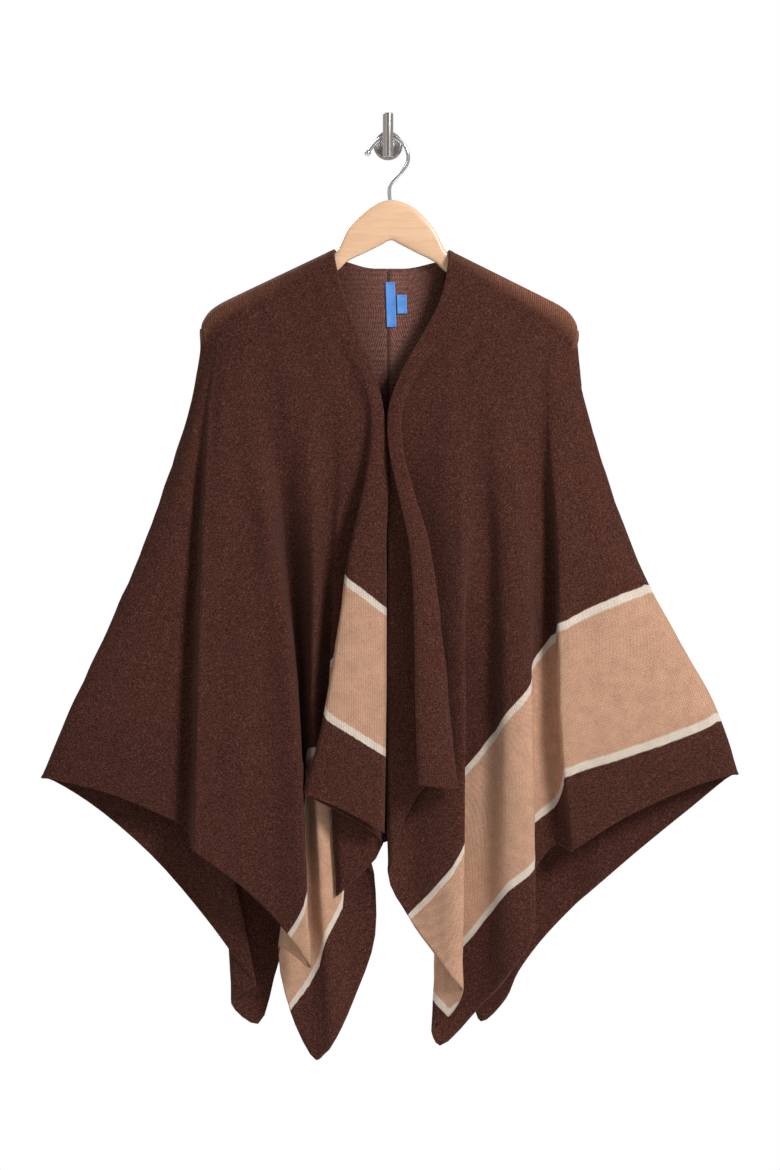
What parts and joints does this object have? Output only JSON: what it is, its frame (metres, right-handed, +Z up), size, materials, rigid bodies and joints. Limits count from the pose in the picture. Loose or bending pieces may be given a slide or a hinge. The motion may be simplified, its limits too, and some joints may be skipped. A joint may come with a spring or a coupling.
{
  "type": "knitted poncho sweater on a wall hook and hanger",
  "caption": "Open-front knitted poncho with striped borders, hanging from a wooden hanger on a metal wall peg, ready for a wardrobe or shop wall.",
  "frame": {"origin": "centre of the wall plate's back face, on the wall", "axes": "+X to the viewer's right across the garment, +Y into the wall, +Z up along the hang"},
  "size_m": [0.7678, 0.095, 1.0425],
  "materials": {
    "knit_left": "soft brushed jersey knit, matte, brown with tan and cream bands along the hems",
    "knit_right": "soft brushed jersey knit, matte, brown with tan and cream bands along the wrist edge",
    "label": "smooth woven ribbon, blank",
    "beech": "varnished satin",
    "chrome_wire": "polished",
    "nickel": "satin"
  },
  "bodies": {
    "root": {"left_panel": "knit_left", "right_panel": "knit_right", "neck_label": "label", "care_label": "label", "hanger_wood": "beech", "hanger_hook": "chrome_wire", "peg_plate": "nickel", "peg_knob": "nickel"}
  },
  "joints": []
}
